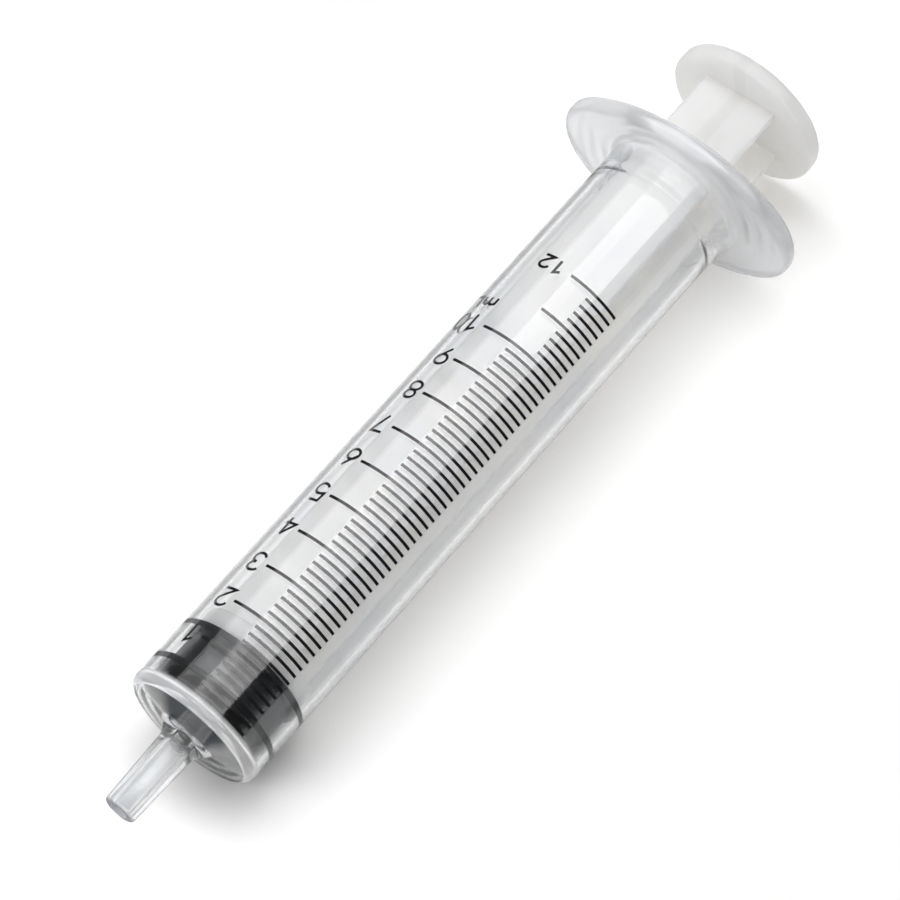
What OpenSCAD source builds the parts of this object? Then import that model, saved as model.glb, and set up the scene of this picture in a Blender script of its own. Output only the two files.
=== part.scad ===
// Three-piece 10 mL slip-tip syringe, lying on its side.
// X runs along the barrel from the nozzle tip to the thumb rest, Y runs along the long axis of
// the finger flange, and Z points up, through the side of the barrel that carries the scale.
// The origin is the centre of the nozzle tip. Lengths are in millimetres.

/* [Barrel tube] */
// Outside diameter of the barrel
barrel_od = 17.2; // [15.4:0.1:20]
// Wall thickness of the barrel
barrel_wall = 0.93; // [0.7:0.01:1.2]
// Plain length of barrel between the last scale line and the finger flange
barrel_tail = 19.7; // [14:0.1:40]
// Radius of the fillet between the barrel and the finger flange
flange_fillet_r = 0.9; // [0.3:0.1:1.6]
// Length of the flared mouth that the plunger goes in through
mouth_len = 1.5; // [0.6:0.1:2.4]
// Widening of the flared mouth, on the radius
mouth_flare_w = 0.9; // [0.3:0.1:1.2]

/* [Retaining bead] */
// Distance from the front of the finger flange forward to the retaining bead
bead_setback = 4; // [2.5:0.1:8]
// Height of the bead inside the bore, on the radius
bead_h = 0.16; // [0.1:0.01:0.32]
// Width of the bead where it meets the bore
bead_w = 2; // [0.6:0.1:2.4]

/* [Barrel front] */
// Length of the nozzle in front of the barrel
nozzle_len = 10.8; // [8:0.1:14]
// Outside diameter of the nozzle at its tip
nozzle_tip_d = 4; // [3.9:0.01:4.1]
// Loss of nozzle diameter per unit of length, in percent
nozzle_taper = 6; // [3:0.1:8]
// Diameter of the fluid passage through the nozzle
nozzle_bore_d = 2.1; // [1.2:0.1:2.6]
// Radius on the outer edge of the nozzle tip
nozzle_edge_r = 0.4; // [0.1:0.05:0.5]
// Radius of the fillet at the root of the nozzle
nozzle_root_r = 2; // [0.8:0.1:2.4]
// Slope of the outside of the barrel's front, in degrees
front_slope = 8.5; // [4:0.5:12]
// Thickness of the barrel's front beside the nozzle
front_wall = 1; // [0.7:0.05:1.6]
// Radius on the outer shoulder of the barrel's front
shoulder_r = 1.2; // [0.5:0.1:1.6]
// Slope of the inside of the barrel's front and of the gasket's face, in degrees
cone_slope = 13; // [8:0.5:18]
// Radius in the inner corner of the barrel's front
inner_corner_r = 0.6; // [0.2:0.1:0.8]

/* [Finger flange] */
// Length of the flange across the barrel
flange_len = 32.6; // [28:0.1:40]
// Width of the flange across its middle
flange_w = 22.8; // [20.4:0.1:26]
// Radius of the flange's rounded ends
flange_end_r = 8.9; // [6:0.1:9.6]
// Thickness of the flange
flange_t = 2.3; // [1.4:0.1:3]
// Radius on the flange's rim
flange_rim_r = 0.9; // [0.3:0.05:1.4]

/* [Gasket] */
// Clearance between the gasket's sealing ribs and the bore, on the radius
seal_clear = 0.03; // [0.02:0.01:0.09]
// Gap left between the gasket and the barrel's front with the plunger fully in
home_gap = 0.25; // [0.1:0.05:0.5]
// Length of the gasket's outside from the edge of its face to its rear
gasket_len = 7.6; // [6.4:0.1:12]
// Depth of the gasket's front land below the sealing ribs, on the radius
land_drop = 0.35; // [0.2:0.05:0.6]
// Length of the front land
land_len = 1.5; // [0.8:0.1:2]
// Depth of the gasket's waist below the sealing ribs, on the radius
waist_drop = 0.75; // [0.4:0.05:1.1]
// Width of each sealing rib
rib_w = 1.15; // [0.8:0.05:1.4]
// Radius on the sealing ribs
rib_round_r = 0.3; // [0.1:0.05:0.35]
// Radius on the edge of the gasket's face
gasket_edge_r = 0.45; // [0.1:0.05:0.6]

/* [Plunger snap] */
// Diameter of the neck of the plunger rod's snap tip
neck_d = 6.2; // [4:0.1:7]
// Length of the neck inside the gasket
neck_len = 1.8; // [1.2:0.1:2.4]
// Diameter of the barb of the snap tip
barb_d = 8.4; // [7.2:0.1:10]
// Length of the barb
barb_len = 3; // [2:0.1:3.4]
// Diameter of the barb's flat front end
barb_nose_d = 5; // [3:0.1:6.4]
// Clearance round the snap tip, on every side
snap_clear = 0.08; // [0.05:0.01:0.1]

/* [Plunger rod] */
// Gap between the rod's front disc and the bore, on the radius
disc_clear = 0.45; // [0.3:0.01:0.8]
// Thickness of the front disc
disc_t = 2.3; // [1:0.1:3]
// Radius on the edges of the front disc
disc_edge_r = 0.3; // [0.1:0.05:0.45]
// Width of the rod's two side plates
plate_w = 9.9; // [7:0.1:11]
// Thickness of the side plates
plate_t = 1.15; // [0.9:0.05:1.6]
// Gap between the corners of the side plates and the bore
plate_clear = 0.83; // [0.4:0.01:1.6]
// Radius on the edges of the side plates
plate_edge_r = 0.25; // [0.1:0.05:0.4]
// Thickness of the web that joins the side plates
web_t = 1.2; // [0.8:0.05:2]
// Radius of the fillets between the web and the side plates
web_root_r = 0.5; // [0.2:0.05:1]
// Length of rod that stands out behind the flange with the plunger fully in
rod_reach = 11; // [9:0.1:18]
// Turn of the side plates away from the flange's long axis, in degrees
rod_turn = 0; // [0:1:90]
// Diameter of the thumb rest
thumb_d = 20; // [16:0.1:26]
// Thickness of the thumb rest
thumb_t = 2.2; // [1.6:0.1:3]
// Radius on the front edge of the thumb rest's rim
thumb_front_r = 0.35; // [0.1:0.05:0.7]
// Radius on the rear edge of the thumb rest's rim
thumb_rear_r = 0.85; // [0.3:0.05:1.4]
// Depth of the shallow dish in the back of the thumb rest
dish_depth = 0.4; // [0.2:0.05:0.6]
// Width of the flat rim round the dish
dish_rim = 2.6; // [2:0.1:5]

/* [Scale] */
// Number of millilitres on the scale
scale_ml = 12; // [11:1:14]
// Number of millilitres with full-length lines and numerals
nominal_ml = 10; // [5:1:10]
// Number of divisions in one millilitre
divisions = 5; // [2:1:5]
// Distance round the barrel from its top to the straight edge of the scale
scale_edge = 8.4; // [4:0.05:9]
// Length of a millilitre line
line_long = 11.3; // [8:0.1:12]
// Length of a line between two millilitre lines
line_short = 7.2; // [4:0.1:7.6]
// Length of a line between two millilitre lines beyond the nominal volume
line_extra = 4.25; // [2:0.05:4.6]
// Width of the lines
line_w = 0.37; // [0.15:0.01:0.5]
// Height of the numerals
glyph_h = 2.8; // [1.6:0.05:3.4]
// Width of one numeral
glyph_w = 2.15; // [1.2:0.05:2.6]
// Space between two numerals
glyph_gap = 0.2; // [0.2:0.05:0.8]
// Height of the smaller numeral at the last line
end_glyph_h = 2.15; // [1.4:0.05:3]
// Width of the strokes of the numerals
stroke_w = 0.35; // [0.15:0.01:0.4]
// Space between the end of a line and its numeral
label_gap = 0.6; // [0.3:0.05:1]
// Space between the end of the last line and its numeral
end_label_gap = 0.95; // [0.3:0.05:2]
// Distance of the foot of the unit mark behind the nominal line
unit_offset = 4.2; // [3.6:0.1:5]
// Space between the end of a line and the unit mark, round the barrel
unit_gap = 0.95; // [0.5:0.05:1.5]
// Height of the capital letter of the unit mark
unit_cap_h = 1.95; // [1.6:0.05:2]
// Height of the small letter of the unit mark
unit_low_h = 1.45; // [1:0.05:1.6]
// Width of one arch of the small letter
unit_arch = 1; // [0.7:0.05:1.1]
// Width of the foot of the capital letter
unit_foot = 1.2; // [0.7:0.05:1.4]
// Space between the two letters of the unit mark
unit_letter_gap = 0.35; // [0.2:0.05:0.6]
// Thickness of the ink
ink_t = 0.03; // [0.02:0.01:0.06]
// Space between the ink and the barrel
ink_gap = 0.01; // [0.01:0.01:0.02]

/* [Hidden] */
$fn = 96;
// Overrun of every cutting shape past the surface that it cuts
overrun = 0.5;
// Side of the cube that holds one millilitre
ml_side = 10;
// Largest share of a disc's thickness that the radius on its rim takes up
rim_share = 0.48;
// Number of straight steps in a rounded corner of an outline
corner_steps = 8;
// Number of straight steps in a quarter turn of a numeral's stroke
stroke_steps = 4;

barrel_r = barrel_od / 2;
bore_r = barrel_r - barrel_wall;
bore_area = PI * bore_r * bore_r;
ml_len = ml_side * ml_side * ml_side / bore_area;
scale_len = scale_ml * ml_len;
nozzle_tip_r = nozzle_tip_d / 2;
nozzle_base_r = nozzle_tip_r + nozzle_len * nozzle_taper / 200;
nozzle_bore_r = nozzle_bore_d / 2;

// Inside of the barrel's front, a cone round the fluid passage
front_inner_x = nozzle_len + front_wall;
function cone_x(r) = front_inner_x + (r - nozzle_base_r) * tan(cone_slope);
function front_x(r) = nozzle_len + (r - nozzle_base_r) * tan(front_slope);

// Radii of the gasket's outside
seal_r = bore_r - seal_clear;
land_r = seal_r - land_drop;
waist_r = seal_r - waist_drop;

// The zero line lies where the gasket reaches its full land radius with the plunger fully in
gasket_edge_set = gasket_edge_r * tan((90 - cone_slope) / 2);
zero_x = cone_x(land_r) + home_gap + gasket_edge_set;
gasket_rear_x = zero_x + gasket_len;
flange_front_x = zero_x + scale_len + barrel_tail;
flange_rear_x = flange_front_x + flange_t;
bead_x = flange_front_x - bead_setback;
mouth_r = bore_r + mouth_flare_w;

// Oval outline of the flange: two wide side arcs, tangent to the round ends
oval_a = flange_len / 2;
oval_b = flange_w / 2;
oval_end_y = oval_a - flange_end_r;
oval_side_r = (oval_end_y * oval_end_y + oval_b * oval_b - flange_end_r * flange_end_r)
    / (2 * (oval_b - flange_end_r));
oval_side_z = oval_side_r - oval_b;
oval_join_y = oval_end_y * oval_side_r / (oval_side_r - flange_end_r);

// Snap tip, measured back from the gasket's rear face
snap_gap = snap_clear;
disc_front_x = gasket_rear_x + snap_gap;
disc_rear_x = disc_front_x + disc_t;
disc_r = bore_r - disc_clear;
neck_r = neck_d / 2;
barb_r = barb_d / 2;
barb_nose_r = barb_nose_d / 2;
barb_rear_x = disc_front_x - neck_len;
barb_nose_x = barb_rear_x - barb_len;

// Distance from the rod's middle line to the outer face of a side plate
plate_corner_r = bore_r - plate_clear;
plate_face = sqrt(plate_corner_r * plate_corner_r - plate_w * plate_w / 4);
thumb_front_x = flange_rear_x + rod_reach;
thumb_rear_x = thumb_front_x + thumb_t;
thumb_r = thumb_d / 2;
dish_r = thumb_r - dish_rim;

// Full travel of the plunger, from home until its rear sealing rib meets the retaining bead
plunger_travel = bead_x - bead_w / 2 - gasket_rear_x;

ink_inner_r = barrel_r + ink_gap;
ink_outer_r = ink_inner_r + ink_t;
line_end = line_long - scale_edge;

function unit(v) = v / norm(v);
function side(v) = [-v[1], v[0]];
function turn(u, v) = u[0] * v[1] - u[1] * v[0];

// Points of the arc of radius r that rounds the corner p between the points a and b
function rounded(a, p, b, r) =
    let (u = unit(a - p), v = unit(b - p))
    let (half = acos(u * v) / 2)
    let (centre = p + unit(u + v) * r / sin(half))
    let (from = p + u * r / tan(half) - centre, swing = (180 - 2 * half) * sign(turn(v, u)))
    [for (i = [0:corner_steps])
        let (t = swing * i / corner_steps)
        centre + [from[0] * cos(t) - from[1] * sin(t), from[0] * sin(t) + from[1] * cos(t)]];

// Solid of revolution about X, from an outline of radius and distance along X
module turned(outline) {
    rotate([0, 90, 0]) rotate_extrude() polygon(outline);
}

// Flat disc standing across X at the point (y, z), its front at x and both edges rounded
module rim_disc(x, y, z, r, t, front_rim, rear_rim) {
    front = [r, 0];
    rear = [r, t];
    outline = concat([[0, 0]], rounded([0, 0], front, rear, min(front_rim, t * rim_share)),
        rounded(front, rear, [0, t], min(rear_rim, t * rim_share)), [[0, t]]);
    translate([x, y, z]) turned(outline);
}

// Outside of the tube, the shoulder and the nozzle, as one turned solid
module barrel_outside() {
    tip = [nozzle_tip_r, 0];
    root = [nozzle_base_r, nozzle_len];
    shoulder = [barrel_r, front_x(barrel_r)];
    hub = [barrel_r, flange_front_x];
    hub_rim = [barrel_r + flange_fillet_r + overrun, flange_front_x];
    hub_rear = flange_front_x + flange_t / 2;
    turned(concat([[0, 0]],
        rounded([0, 0], tip, root, nozzle_edge_r),
        rounded(tip, root, shoulder, nozzle_root_r),
        rounded(root, shoulder, hub, shoulder_r),
        rounded(shoulder, hub, hub_rim, flange_fillet_r),
        [[barrel_r + flange_fillet_r, hub_rear], [0, hub_rear]]));
}

module flange_disc(y, z, r) {
    rim_disc(flange_front_x, y, z, r, flange_t, flange_rim_r, flange_rim_r);
}

module flange_plate() {
    intersection() {
        flange_disc(0, -oval_side_z, oval_side_r);
        flange_disc(0, oval_side_z, oval_side_r);
        translate([flange_front_x - overrun, -oval_join_y, -flange_w])
            cube([flange_t + 2 * overrun, 2 * oval_join_y, 2 * flange_w]);
    }
    for (s = [-1, 1]) flange_disc(s * oval_end_y, 0, flange_end_r);
}

// Fluid passage, chamber, retaining bead and flared mouth, cut out as one turned shape
module barrel_inside() {
    passage_end = [nozzle_bore_r, cone_x(nozzle_bore_r)];
    corner = [bore_r, cone_x(bore_r)];
    mouth = [bore_r, flange_rear_x - mouth_len];
    mouth_step = mouth_flare_w * overrun / mouth_len;
    turned(concat([[0, -overrun], [nozzle_bore_r, -overrun], passage_end],
        rounded(passage_end, corner, mouth, inner_corner_r),
        [[bore_r, bead_x - bead_w / 2], [bore_r - bead_h, bead_x],
            [bore_r, bead_x + bead_w / 2], mouth,
            [mouth_r + mouth_step, flange_rear_x + overrun], [0, flange_rear_x + overrun]]));
}

// Clear barrel: nozzle, tube and finger flange are one moulding
module barrel() {
    color([0.86, 0.88, 0.92, 0.45])
    difference() {
        union() {
            barrel_outside();
            flange_plate();
        }
        barrel_inside();
    }
}

// Black rubber gasket with two sealing ribs and a pocket for the rod's snap tip
module gasket() {
    face = [0, cone_x(0) + home_gap];
    edge = [land_r, cone_x(land_r) + home_gap];
    land_end = [land_r, zero_x + land_len];
    rib_1 = zero_x + land_len;
    rib_2 = gasket_rear_x - rib_w;
    pocket_r = barb_r + snap_clear;
    throat_r = neck_r + snap_clear;
    pocket_rear = barb_rear_x + snap_clear;
    pocket_front = barb_nose_x - snap_clear;
    color([0.13, 0.14, 0.16])
    difference() {
        turned(concat([face],
            rounded(face, edge, land_end, gasket_edge_r),
            [land_end],
            rounded(land_end, [seal_r, rib_1], [seal_r, rib_1 + rib_w], rib_round_r),
            rounded([seal_r, rib_1], [seal_r, rib_1 + rib_w], [waist_r, rib_1 + rib_w],
                rib_round_r),
            [[waist_r, rib_1 + rib_w], [waist_r, rib_2]],
            rounded([waist_r, rib_2], [seal_r, rib_2], [seal_r, gasket_rear_x], rib_round_r),
            rounded([seal_r, rib_2], [seal_r, gasket_rear_x], [0, gasket_rear_x], rib_round_r),
            [[0, gasket_rear_x]]));
        turned([[0, pocket_front], [barb_nose_r + snap_clear, pocket_front],
            [pocket_r, pocket_rear], [throat_r, pocket_rear],
            [throat_r, gasket_rear_x + overrun], [0, gasket_rear_x + overrun]]);
    }
}

// Snap tip and front disc of the rod, as one turned solid
module rod_front() {
    disc_front = [disc_r, disc_front_x];
    disc_rear = [disc_r, disc_rear_x];
    turned(concat([[0, barb_nose_x], [barb_nose_r, barb_nose_x], [barb_r, barb_rear_x],
            [neck_r, barb_rear_x], [neck_r, disc_front_x]],
        rounded([neck_r, disc_front_x], disc_front, disc_rear, disc_edge_r),
        rounded(disc_front, disc_rear, [0, disc_rear_x], disc_edge_r),
        [[0, disc_rear_x]]));
}

// Section of the rod: two side plates joined by a web, with filleted inner corners
module rod_section() {
    middle = [plate_face, 0];
    outer = [plate_face, plate_w / 2];
    inner = [plate_face - plate_t, plate_w / 2];
    root = [plate_face - plate_t, web_t / 2];
    web = [0, web_t / 2];
    quarter = concat(rounded(middle, outer, inner, plate_edge_r),
        rounded(outer, inner, root, plate_edge_r), rounded(inner, root, web, web_root_r));
    last = len(quarter) - 1;
    polygon(concat(quarter,
        [for (i = [last:-1:0]) [-quarter[i][0], quarter[i][1]]],
        [for (p = quarter) -p],
        [for (i = [last:-1:0]) [quarter[i][0], -quarter[i][1]]]));
}

module rod_beam() {
    start = disc_rear_x - disc_t / 2;
    stop = thumb_front_x + thumb_t / 2;
    translate([start, 0, 0]) rotate([rod_turn, 0, 0]) rotate([0, 90, 0])
        linear_extrude(stop - start) rod_section();
}

// Thumb rest with a shallow dish in its back
module thumb_rest() {
    difference() {
        rim_disc(thumb_front_x, 0, 0, thumb_r, thumb_t, thumb_front_r, thumb_rear_r);
        turned([[0, thumb_rear_x - dish_depth], [dish_r - dish_depth, thumb_rear_x - dish_depth],
            [dish_r + overrun, thumb_rear_x + overrun], [0, thumb_rear_x + overrun]]);
    }
}

// Milky plunger rod: snap tip, front disc, beam and thumb rest are one moulding
module plunger_rod() {
    color([0.9, 0.9, 0.9])
    union() {
        rod_front();
        rod_beam();
        thumb_rest();
    }
}

// Puts a child that lies flat at the top of the barrel at x, an arc length round towards +Y
module on_barrel(x, arc) {
    translate([x, 0, 0]) rotate([-arc / barrel_r * 180 / PI, 0, 0]) children();
}

// One printed line at x, from the straight edge of the scale
module scale_line(x, len) {
    sweep = len / barrel_r * 180 / PI;
    on_barrel(x, len - scale_edge) rotate([0, 90, 0]) rotate([0, 0, 180])
        rotate_extrude(angle = sweep)
        translate([ink_inner_r, -line_w / 2]) square([ink_t, line_w]);
}

module millilitre_lines() {
    color([0.16, 0.16, 0.17])
    for (ml = [0:scale_ml])
        scale_line(zero_x + ml * ml_len, ml > nominal_ml ? line_short : line_long);
}

module division_lines() {
    color([0.16, 0.16, 0.17])
    for (ml = [0:scale_ml - 1])
        for (d = [1:divisions - 1])
            scale_line(zero_x + (ml + d / divisions) * ml_len,
                ml < nominal_ml ? line_short : line_extra);
}

// Points along an arc of a stroke, from the angle a to the angle b
function arc(centre, rx, ry, a, b) =
    let (n = max(2, ceil(abs(b - a) / 90 * stroke_steps)))
    [for (i = [0:n]) let (t = a + (b - a) * i / n) centre + [rx * cos(t), ry * sin(t)]];

// Half the stroke's width across the corner at point i of a path
function mitre(path, i) =
    let (last = len(path) - 1)
    let (u = unit(path[min(i + 1, last)] - path[min(i, last - 1)]))
    let (v = unit(path[max(i, 1)] - path[max(i - 1, 0)]))
    let (across = unit(side(u) + side(v)))
    across * stroke_w / 2 / (across * side(u));

// Even stroke along a path of points
module stroke(path) {
    last = len(path) - 1;
    polygon(concat([for (i = [0:last]) path[i] + mitre(path, i)],
        [for (i = [last:-1:0]) path[i] - mitre(path, i)]));
}

// Strokes of each numeral between the middle lines of its outer strokes: w wide and h high
function bowl(w, h, y0, y1) = let (c = [w / 2, (y0 + y1) / 2 * h])
    arc(c, w / 2, (y1 - y0) / 2 * h, -90, 90);
function strokes(digit, w, h) =
    digit == 0 ? [arc([w / 2, h / 2], w / 2, h / 2, -90, 90),
        arc([w / 2, h / 2], w / 2, h / 2, 90, 270)] :
    digit == 1 ? [[[w * 0.12, h * 0.77], [w * 0.64, h], [w * 0.64, 0]]] :
    digit == 2 ? [concat(arc([w / 2, h * 0.72], w / 2, h * 0.28, 170, -35), [[0, 0], [w, 0]])] :
    digit == 3 ? [arc([w / 2, h * 0.76], w / 2, h * 0.24, 160, -90),
        arc([w / 2, h * 0.26], w / 2, h * 0.26, 90, -160)] :
    digit == 4 ? [[[w * 0.72, 0], [w * 0.72, h]],
        [[w * 0.72, h], [0, h * 0.3], [w, h * 0.3]]] :
    digit == 5 ? [concat([[w * 0.92, h], [w * 0.12, h], [w * 0.04, h * 0.52]],
        arc([w / 2, h * 0.3], w / 2, h * 0.3, 120, -150))] :
    digit == 6 ? [concat([[w * 0.82, h]], arc([w / 2, h * 0.3], w / 2, h * 0.3, 180, 360)),
        arc([w / 2, h * 0.3], w / 2, h * 0.3, 180, 0)] :
    digit == 7 ? [[[0, h], [w, h], [w * 0.34, 0]]] :
    digit == 8 ? [arc([w / 2, h * 0.76], w * 0.44, h * 0.24, -90, 90),
        arc([w / 2, h * 0.76], w * 0.44, h * 0.24, 90, 270),
        arc([w / 2, h * 0.26], w / 2, h * 0.26, -90, 90),
        arc([w / 2, h * 0.26], w / 2, h * 0.26, 90, 270)] :
    [for (s = strokes(6, w, h)) [for (p = s) [w, h] - p]];

// Prints a flat outline on the barrel, its reading direction towards +Y and its top at -X
module print(x, arc) {
    intersection() {
        on_barrel(x, arc) translate([0, 0, barrel_r - overrun]) rotate([0, 0, 90])
            linear_extrude(2 * overrun) children();
        rotate([0, 90, 0]) difference() {
            cylinder(r = ink_outer_r, h = flange_front_x);
            translate([0, 0, -overrun]) cylinder(r = ink_inner_r, h = flange_front_x + 2 * overrun);
        }
    }
}

// One numeral of the given outer size, its middle at x and its near side at an arc length
module numeral(digit, x, near, outer_w, outer_h) {
    w = outer_w - stroke_w;
    h = outer_h - stroke_w;
    print(x, near + outer_w / 2) translate([-w / 2, -h / 2])
        for (s = strokes(digit, w, h)) stroke(s);
}

// A whole number of one or two numerals
module number(value, x, near, outer_w, outer_h) {
    if (value >= 10) {
        numeral(floor(value / 10), x, near, outer_w, outer_h);
        numeral(value % 10, x, near + outer_w + glyph_gap, outer_w, outer_h);
    }
    else numeral(value, x, near, outer_w, outer_h);
}

module numerals() {
    end_w = glyph_w * end_glyph_h / glyph_h;
    color([0.16, 0.16, 0.17]) {
        for (ml = [1:nominal_ml])
            number(ml, zero_x + ml * ml_len, line_end + label_gap, glyph_w, glyph_h);
        number(scale_ml, zero_x + scale_len, line_short - scale_edge + end_label_gap,
            end_w, end_glyph_h);
    }
}

// The letters mL behind the nominal line, both standing on one foot line
module unit_mark() {
    x = zero_x + nominal_ml * ml_len + unit_offset - stroke_w / 2;
    m_w = 2 * unit_arch;
    m_near = line_end + unit_gap;
    l_near = m_near + m_w + stroke_w + unit_letter_gap;
    bow_r = unit_arch / 2;
    spring = unit_low_h - stroke_w - bow_r;
    color([0.16, 0.16, 0.17]) {
        print(x, m_near + (m_w + stroke_w) / 2) translate([-m_w / 2, 0]) {
            stroke([[0, 0], [0, spring + bow_r]]);
            for (k = [0, 1])
                stroke(concat(arc([(k + 0.5) * unit_arch, spring], bow_r, bow_r, 180, 0),
                    [[(k + 1) * unit_arch, 0]]));
        }
        print(x, l_near + (unit_foot + stroke_w) / 2) translate([-unit_foot / 2, 0])
            stroke([[0, unit_cap_h - stroke_w], [0, 0], [unit_foot, 0]]);
    }
}

barrel();
gasket();
plunger_rod();
millilitre_lines();
division_lines();
numerals();
unit_mark();
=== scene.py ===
import math

import bmesh
import bpy
from mathutils import Matrix, Vector


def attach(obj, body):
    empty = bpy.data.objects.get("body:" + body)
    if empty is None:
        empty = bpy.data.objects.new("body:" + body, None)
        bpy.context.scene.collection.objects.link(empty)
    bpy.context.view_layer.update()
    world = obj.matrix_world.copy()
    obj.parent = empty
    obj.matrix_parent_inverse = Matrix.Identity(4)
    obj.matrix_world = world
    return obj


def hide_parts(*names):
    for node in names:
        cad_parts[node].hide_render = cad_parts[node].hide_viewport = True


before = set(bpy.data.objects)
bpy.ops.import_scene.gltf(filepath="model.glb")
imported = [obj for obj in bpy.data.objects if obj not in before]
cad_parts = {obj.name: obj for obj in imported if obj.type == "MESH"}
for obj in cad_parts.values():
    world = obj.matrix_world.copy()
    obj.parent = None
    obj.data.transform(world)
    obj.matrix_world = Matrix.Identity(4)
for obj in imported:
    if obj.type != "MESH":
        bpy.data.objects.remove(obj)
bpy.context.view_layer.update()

# The syringe lies along X, its nozzle tip at the origin, its printed side up. Sizes are in
# millimetres and angles in degrees, and every mesh is scaled to metres when it is made.
MM = 0.001
SHARP_ANGLE = 32
# A wave texture of this scale repeats once for each unit of length.
WAVE_TURN = 0.314

# Barrel
BARREL_R = 8.6
BORE_R = 7.67
# The look of the bore's surface turns to that of the outer one between these radii.
INNER_SKIN_R = 7.68
OUTER_SKIN_R = 7.82
BORE_CORNER_R = 0.6
NOZZLE_LEN = 10.8
NOZZLE_TIP_R = 2.0
NOZZLE_BASE_R = 2.324
NOZZLE_LIP_R = 0.4
NOZZLE_ROOT_R = 2.0
PASSAGE_R = 1.05
PASSAGE_LIP_R = 0.12
PASSAGE_END_R = 0.15
FRONT_SLOPE = 8.5
SHOULDER_R = 1.2
CONE_SLOPE = 13.0
CONE_FOOT_X = 11.8
HUB_R = 9.5
FLANGE_FRONT_X = 98.1837
FLANGE_REAR_X = 100.4837
FLANGE_HALF_LEN = 16.3
FLANGE_HALF_W = 11.4
FLANGE_END_R = 8.9
FLANGE_RIM_R = 0.9
MOUTH_R = 8.57
MOUTH_LEN = 1.5
MOUTH_EDGE_R = 0.2
BEAD_X = 94.1837
BEAD_W = 2.0
BEAD_H = 0.16
# Places of the rings of vertices along the plain tube
TUBE_RINGS = range(20, 96, 8)
BARREL_SEGMENTS = 256

# Scale: its 0 line and the length of a millilitre. The syringe is made for 10 mL, its lines run on
# to 12 mL, and each millilitre has five parts.
ZERO_X = 13.5544
ML_LEN = 5.41077
NOMINAL_ML = 10
SCALE_ML = 12
ML_PARTS = 5

# Gasket
GASKET_GAP = 0.25
GASKET_REAR_X = 21.1544
GASKET_SEGMENTS = 192
LAND_R = 7.29
# The ribs are pressed into the bore by a hair, as real rubber is, so that no air shows between.
SEAL_R = BORE_R + 0.012
WAIST_R = 6.89
LAND_LEN = 1.5
RIB_W = 1.15
FACE_EDGE_R = 0.45
RIB_EDGE_R = 0.3
RIB_LEAD_R = 0.25
LAND_ROOT_R = 0.1
WAIST_ROOT_R = 0.2
POCKET_GAP = 0.08

# Plunger rod
NECK_R = 3.1
BARB_R = 4.2
BARB_NOSE_R = 2.5
BARB_REAR_X = 19.4344
BARB_NOSE_X = 16.4344
DISC_R = 7.22
DISC_FRONT_X = 21.2344
DISC_REAR_X = 23.5344
DISC_EDGE_R = 0.3
PLATE_FACE = 4.7205
PLATE_W = 9.9
PLATE_T = 1.15
PLATE_EDGE_R = 0.25
WEB_T = 1.2
WEB_ROOT_R = 0.5
THUMB_FRONT_X = 111.484
THUMB_REAR_X = 113.684
THUMB_R = 10.0
THUMB_FRONT_R = 0.35
THUMB_REAR_R = 0.85
DISH_R = 7.4
DISH_FLOOR_R = 6.0
DISH_DEPTH = 0.4
DISH_EDGE_R = 0.8
DISH_SLOPE_W = 1.0
BEAM_OVERLAP = 1

# Printed ink
INK_INNER_R = 8.61
INK_T = 0.03
# Every line starts so far round the barrel from its top, on the -Y side. The numerals stand past
# its other end.
SCALE_EDGE = 8.4
LINE_LONG = 11.3
LINE_SHORT = 7.2
LINE_EXTRA = 4.25
LINE_W = 0.37
STROKE_W = 0.35
STROKE_STEP = 0.25
DIGIT_W = 2.15
DIGIT_H = 2.8
DIGIT_GAP = 0.2
SMALL_DIGIT_H = 2.15
LABEL_GAP = 0.6
END_LABEL_GAP = 0.95
UNIT_OFFSET = 4.2
UNIT_GAP = 0.95
UNIT_CAP_H = 1.95
UNIT_LOW_H = 1.45
UNIT_ARCH = 1.0
UNIT_FOOT = 1.2
LETTER_GAP = 0.35


# Shapes

def unit(v):
    return v / v.length


def rounded(a, p, b, r, steps=10):
    """Points of the arc of radius r that rounds the corner p between the points a and b."""
    a, p, b = Vector(a), Vector(p), Vector(b)
    u, v = unit(a - p), unit(b - p)
    half = u.angle(v) / 2
    centre = p + unit(u + v) * (r / math.sin(half))
    start = p + u * (r / math.tan(half)) - centre
    swing = (math.pi - 2 * half) * (1 if v.x * u.y - v.y * u.x > 0 else -1)
    points = []
    for i in range(steps + 1):
        t = swing * i / steps
        c, s = math.cos(t), math.sin(t)
        points.append((centre.x + start.x * c - start.y * s, centre.y + start.x * s + start.y * c))
    return points


def cone_x(r):
    """Where the barrel's inner cone stands at a radius."""
    return CONE_FOOT_X + (r - NOZZLE_BASE_R) * math.tan(math.radians(CONE_SLOPE))


def front_x(r):
    """Where the barrel's outer front stands at a radius."""
    return NOZZLE_LEN + (r - NOZZLE_BASE_R) * math.tan(math.radians(FRONT_SLOPE))


def flange_reach(angle, inset):
    """Distance from the axis to the flange's oval outline, drawn in by inset, at an angle
    from +Z. The oval is two long side arcs joined by two round ends."""
    y, z = abs(math.sin(angle)), abs(math.cos(angle))
    end_y = FLANGE_HALF_LEN - FLANGE_END_R
    side_r = (end_y ** 2 + FLANGE_HALF_W ** 2 - FLANGE_END_R ** 2) / (
        2 * (FLANGE_HALF_W - FLANGE_END_R))
    side_z = side_r - FLANGE_HALF_W
    end = FLANGE_END_R - inset
    to_join = Vector((end_y, side_z)) / (side_r - FLANGE_END_R)
    join = Vector((end_y, 0)) + to_join * end
    if z * join.x < y * join.y:
        return end_y * y + math.sqrt(end ** 2 - (end_y * z) ** 2)
    return -side_z * z + math.sqrt((side_r - inset) ** 2 - (side_z * y) ** 2)


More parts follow.
